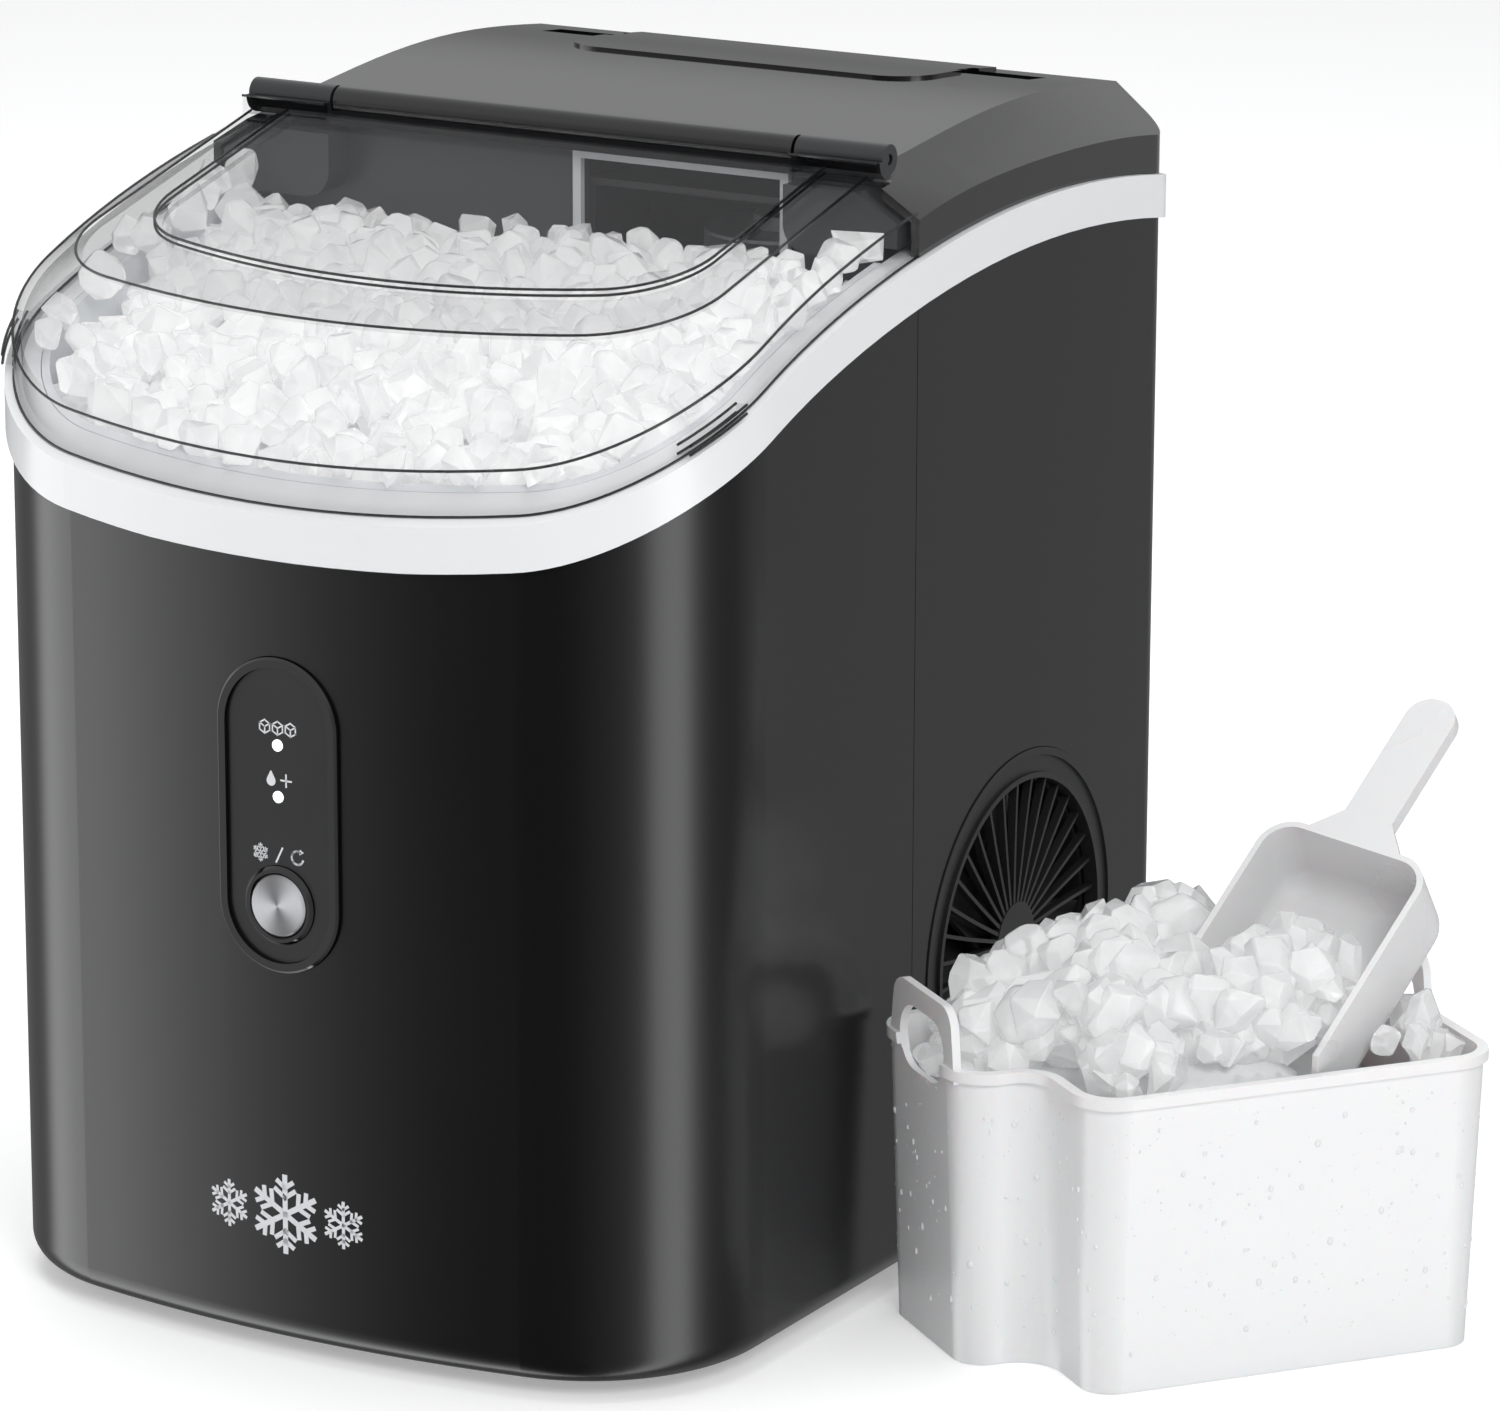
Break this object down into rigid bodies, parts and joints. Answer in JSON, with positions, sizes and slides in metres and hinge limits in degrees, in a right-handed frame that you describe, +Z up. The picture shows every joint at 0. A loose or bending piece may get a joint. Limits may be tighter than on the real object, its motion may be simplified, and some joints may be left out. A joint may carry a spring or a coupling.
{
  "type": "countertop ice maker",
  "caption": "Upright countertop nugget ice maker with a sloping clear lid over an ice bin, one push button, a side fan grille, a rear cover, and a loose ice basket with a scoop.",
  "frame": {"origin": "centre of the machine's footprint, on the plane its rubber feet stand on", "axes": "+Z up, -Y towards the front with the button, +X to the machine's right as its front is faced"},
  "size_m": [0.3904, 0.2974, 0.3215],
  "materials": {
    "auger": "stainless steel",
    "barrel_insulation": "closed-cell foam",
    "base_pan": "textured black",
    "basket": "white translucent",
    "bin_drain_hose": "soft rubber",
    "bin_rear_wall": "textured black",
    "button_collar": "bright bevelled",
    "compressor": "black gloss enamel",
    "compressor_grommets": "soft rubber",
    "compressor_terminal_cover": "black moulding",
    "condenser_coil": "finned aluminium and tube",
    "control_bezel": "high gloss black",
    "control_board": "green circuit board",
    "control_fascia": "gloss black",
    "cord_gland": "black moulding",
    "discharge_tube": "drawn copper tube",
    "drain_plug": "soft rubber",
    "drain_spout": "black moulding",
    "extruder_head": "white",
    "fan_grille": "textured black",
    "fan_motor": "black moulding",
    "fan_rotor": "textured black",
    "fan_shroud": "textured black",
    "feed_hose": "soft rubber",
    "filter_drier": "drawn copper tube",
    "float_stem": "translucent natural plastic",
    "freezing_barrel": "stainless steel",
    "front_shell": "satin black paint-like gloss",
    "gearmotor": "zinc plate",
    "hinge_pins": "brushed",
    "ice_level_sensor": "soft rubber",
    "indicator_lenses": "milky light guide",
    "inner_bin": "white",
    "left_side_panel": "satin black paint-like gloss",
    "level_float": "translucent natural plastic",
    "lid": "clear smoky plastic",
    "machine_bracket": "zinc plate",
    "main_board": "green circuit board",
    "outlet_chute": "textured black",
    "outlet_frame": "white",
    "rear_cover": "high gloss black",
    "rear_panel": "matt black powder coat",
    "rear_screws": "brushed",
    "right_side_panel": "satin black paint-like gloss",
    "rubber_feet": "soft rubber",
    "scoop": "white translucent",
    "start_button": "brushed",
    "suction_tube": "drawn copper tube",
    "tank_lid": "translucent natural plastic",
    "top_trim": "white gloss",
    "water_pump": "translucent natural plastic",
    "water_tank": "translucent natural plastic"
  },
  "bodies": {
    "machine": {"barrel_insulation": "barrel_insulation", "base_pan": "base_pan", "bin_drain_hose": "bin_drain_hose", "bin_rear_wall": "bin_rear_wall", "button_collar": "button_collar", "compressor": "compressor", "compressor_grommets": "compressor_grommets", "compressor_terminal_cover": "compressor_terminal_cover", "condenser_coil": "condenser_coil", "control_bezel": "control_bezel", "control_board": "control_board", "control_fascia": "control_fascia", "cord_gland": "cord_gland", "discharge_tube": "discharge_tube", "drain_spout": "drain_spout", "extruder_head": "extruder_head", "fan_grille": "fan_grille", "fan_motor": "fan_motor", "fan_shroud": "fan_shroud", "feed_hose": "feed_hose", "filter_drier": "filter_drier", "float_stem": "float_stem", "freezing_barrel": "freezing_barrel", "front_shell": "front_shell", "gearmotor": "gearmotor", "hinge_pins": "hinge_pins", "ice_level_sensor": "ice_level_sensor", "indicator_lenses": "indicator_lenses", "inner_bin": "inner_bin", "left_side_panel": "left_side_panel", "machine_bracket": "machine_bracket", "main_board": "main_board", "outlet_chute": "outlet_chute", "outlet_frame": "outlet_frame", "rear_cover": "rear_cover", "rear_panel": "rear_panel", "rear_screws": "rear_screws", "right_side_panel": "right_side_panel", "rubber_feet": "rubber_feet", "suction_tube": "suction_tube", "tank_lid": "tank_lid", "top_trim": "top_trim", "water_pump": "water_pump", "water_tank": "water_tank"},
    "lid": {"lid": "lid"},
    "start_button": {"start_button": "start_button"},
    "fan_rotor": {"fan_rotor": "fan_rotor"},
    "auger": {"auger": "auger"},
    "level_float": {"level_float": "level_float"},
    "drain_plug": {"drain_plug": "drain_plug"},
    "basket": {"basket": "basket"},
    "scoop": {"scoop": "scoop"}
  },
  "joints": [
    {"name": "lid_hinge", "type": "hinge", "parent": "machine", "child": "lid", "pos_m": [0, 0.001, 0.317], "axis": [-1, 0, 0], "range_deg": [0, 105]},
    {"name": "button_press", "type": "slide", "parent": "machine", "child": "start_button", "axis": [0, 1, 0], "range_m": [0, 0.001], "stiffness_N_per_m": 600},
    {"name": "fan_spin", "type": "hinge", "parent": "machine", "child": "fan_rotor", "pos_m": [0.105, 0.06, 0.083], "axis": [1, 0, 0], "continuous": true},
    {"name": "auger_spin", "type": "hinge", "parent": "machine", "child": "auger", "pos_m": [0.0365, 0.062, 0.2], "axis": [0, 0, 1], "continuous": true},
    {"name": "float_rise", "type": "slide", "parent": "machine", "child": "level_float", "axis": [0, 0, 1], "range_m": [0, 0.04]},
    {"name": "drain_plug_pull", "type": "slide", "parent": "machine", "child": "drain_plug", "axis": [0, 1, 0], "range_m": [0, 0.02]},
    {"name": "basket_lift", "type": "slide", "parent": "machine", "child": "basket", "axis": [0, 0, 1], "range_m": [0, 0.15]},
    {"name": "scoop_lift", "type": "slide", "parent": "basket", "child": "scoop", "axis": [0.1483, 0.7629, 0.6293], "range_m": [0, 0.1]}
  ]
}
